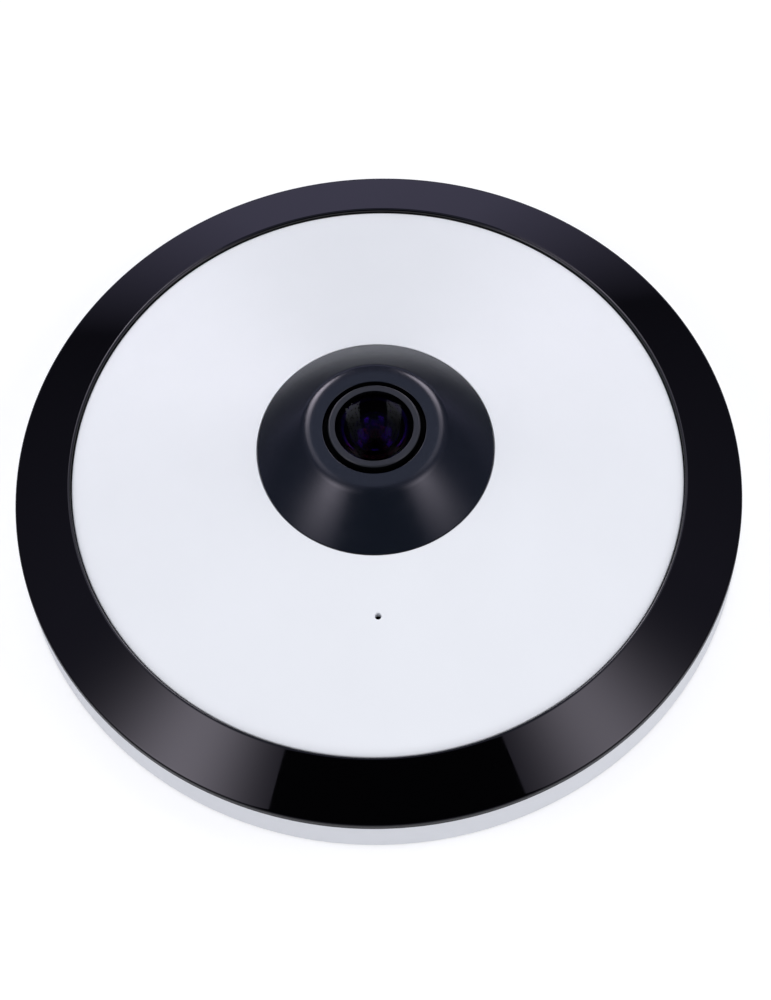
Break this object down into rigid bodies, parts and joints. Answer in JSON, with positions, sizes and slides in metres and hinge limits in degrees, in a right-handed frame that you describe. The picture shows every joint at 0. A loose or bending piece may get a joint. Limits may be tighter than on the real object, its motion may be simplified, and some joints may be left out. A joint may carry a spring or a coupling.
{
  "type": "fisheye ceiling camera",
  "caption": "Round ceiling-mounted network camera: a fixed fisheye lens in a dark cone on a white cover, inside a glossy black infrared window ring, on a twist-off bracket.",
  "frame": {"origin": "centre of the bracket's ceiling face, on the lens axis", "axes": "+Z out of the lens, away from the ceiling; -Y towards the microphone hole; +Y towards the lock screw"},
  "size_m": [0.15, 0.15, 0.0402],
  "materials": {
    "bracket_steel": "white powder coat",
    "housing_white": "fine moulded satin",
    "cover_white": "fine moulded satin",
    "window_black": "polished infrared-passing acrylic",
    "shroud_blue_black": "satin soft paint",
    "screw_steel": "zinc plated",
    "rubber_black": "matt",
    "rubber_grey": "soft silicone",
    "lens_metal": "black anodised",
    "lens_glass": "coated optical glass",
    "filter_glass": "infrared-cut coating",
    "board_green": "solder mask",
    "board_white": "white solder mask",
    "chip_black": "moulded epoxy",
    "sensor_ceramic": "ceramic package",
    "lamp_epoxy": "clear epoxy",
    "bare_aluminium": "bare",
    "plated_steel": "nickel plated",
    "gold_brass": "gold plated",
    "copper_wire": "enamelled copper winding",
    "plastic_black": "moulded",
    "terminal_green": "moulded",
    "card_black": "moulded",
    "button_grey": "moulded",
    "carrier_white": "moulded",
    "connector_ivory": "moulded",
    "flex_amber": "polyimide film",
    "lead_black": "insulated lead"
  },
  "bodies": {
    "ceiling_mount": {"mount_bracket": "bracket_steel"},
    "camera_head": {"aperture_stop": "lens_metal", "backup_battery": "plated_steel", "board_capacitors": "bare_aluminium", "board_screws": "screw_steel", "cover_screws": "screw_steel", "dc_jack": "plastic_black", "dc_jack_pin": "plated_steel", "ethernet_transformer": "chip_black", "flex_connectors": "connector_ivory", "front_cover": "cover_white", "heat_sink": "bare_aluminium", "image_sensor": "sensor_ceramic", "io_terminal_block": "terminal_green", "ir_lamp_boards": "board_white", "ir_lamp_carrier": "carrier_white", "ir_lamp_leads": "lead_black", "ir_lamps": "lamp_epoxy", "ir_window_ring": "window_black", "ircut_coil": "copper_wire", "ircut_cover": "plastic_black", "ircut_tray": "plastic_black", "lamp_screws": "screw_steel", "lens_barrel": "lens_metal", "lens_front_glass": "lens_glass", "lens_front_ring": "lens_metal", "lens_holder": "plastic_black", "lens_lock_ring": "lens_metal", "lens_middle_glass": "lens_glass", "lens_rear_glass": "lens_glass", "lens_rear_ring": "lens_metal", "lens_seal": "rubber_black", "lens_second_glass": "lens_glass", "lens_shroud": "shroud_blue_black", "light_sensor": "lamp_epoxy", "lock_screw": "screw_steel", "main_board": "board_green", "memory_chips": "chip_black", "microphone_boot": "rubber_black", "microphone_capsule": "plated_steel", "microsd_socket": "plated_steel", "power_inductors": "chip_black", "rear_housing": "housing_white", "reset_switch": "plastic_black", "rim_gasket": "rubber_black", "rj45_contacts": "gold_brass", "rj45_jack": "plated_steel", "sensor_board": "board_green", "sensor_cover_glass": "lens_glass", "sensor_flex_cable": "flex_amber", "sensor_screws": "screw_steel", "shroud_screws": "screw_steel", "soc_chip": "chip_black", "thermal_pad": "rubber_grey"},
    "memory_card": {"microsd_card": "card_black"},
    "reset_plunger": {"reset_button": "button_grey"},
    "filter_carriage": {"ircut_carriage": "plastic_black", "ir_cut_filter": "filter_glass", "clear_filter": "lens_glass", "carriage_magnet": "plated_steel"}
  },
  "joints": [
    {"name": "bayonet_twist", "type": "hinge", "parent": "ceiling_mount", "child": "camera_head", "pos_m": [0, 0, 0], "axis": [0, 0, 1], "range_deg": [0, 25]},
    {"name": "card_slide", "type": "slide", "parent": "camera_head", "child": "memory_card", "axis": [0, 0, -1], "range_m": [-0.0008, 0.0038]},
    {"name": "reset_press", "type": "slide", "parent": "camera_head", "child": "reset_plunger", "axis": [0, 0, 1], "range_m": [0, 0.0005], "stiffness_N_per_m": 400, "springref_m": -0.001},
    {"name": "filter_shift", "type": "slide", "parent": "camera_head", "child": "filter_carriage", "axis": [1, 0, 0], "range_m": [0, 0.0074]}
  ]
}
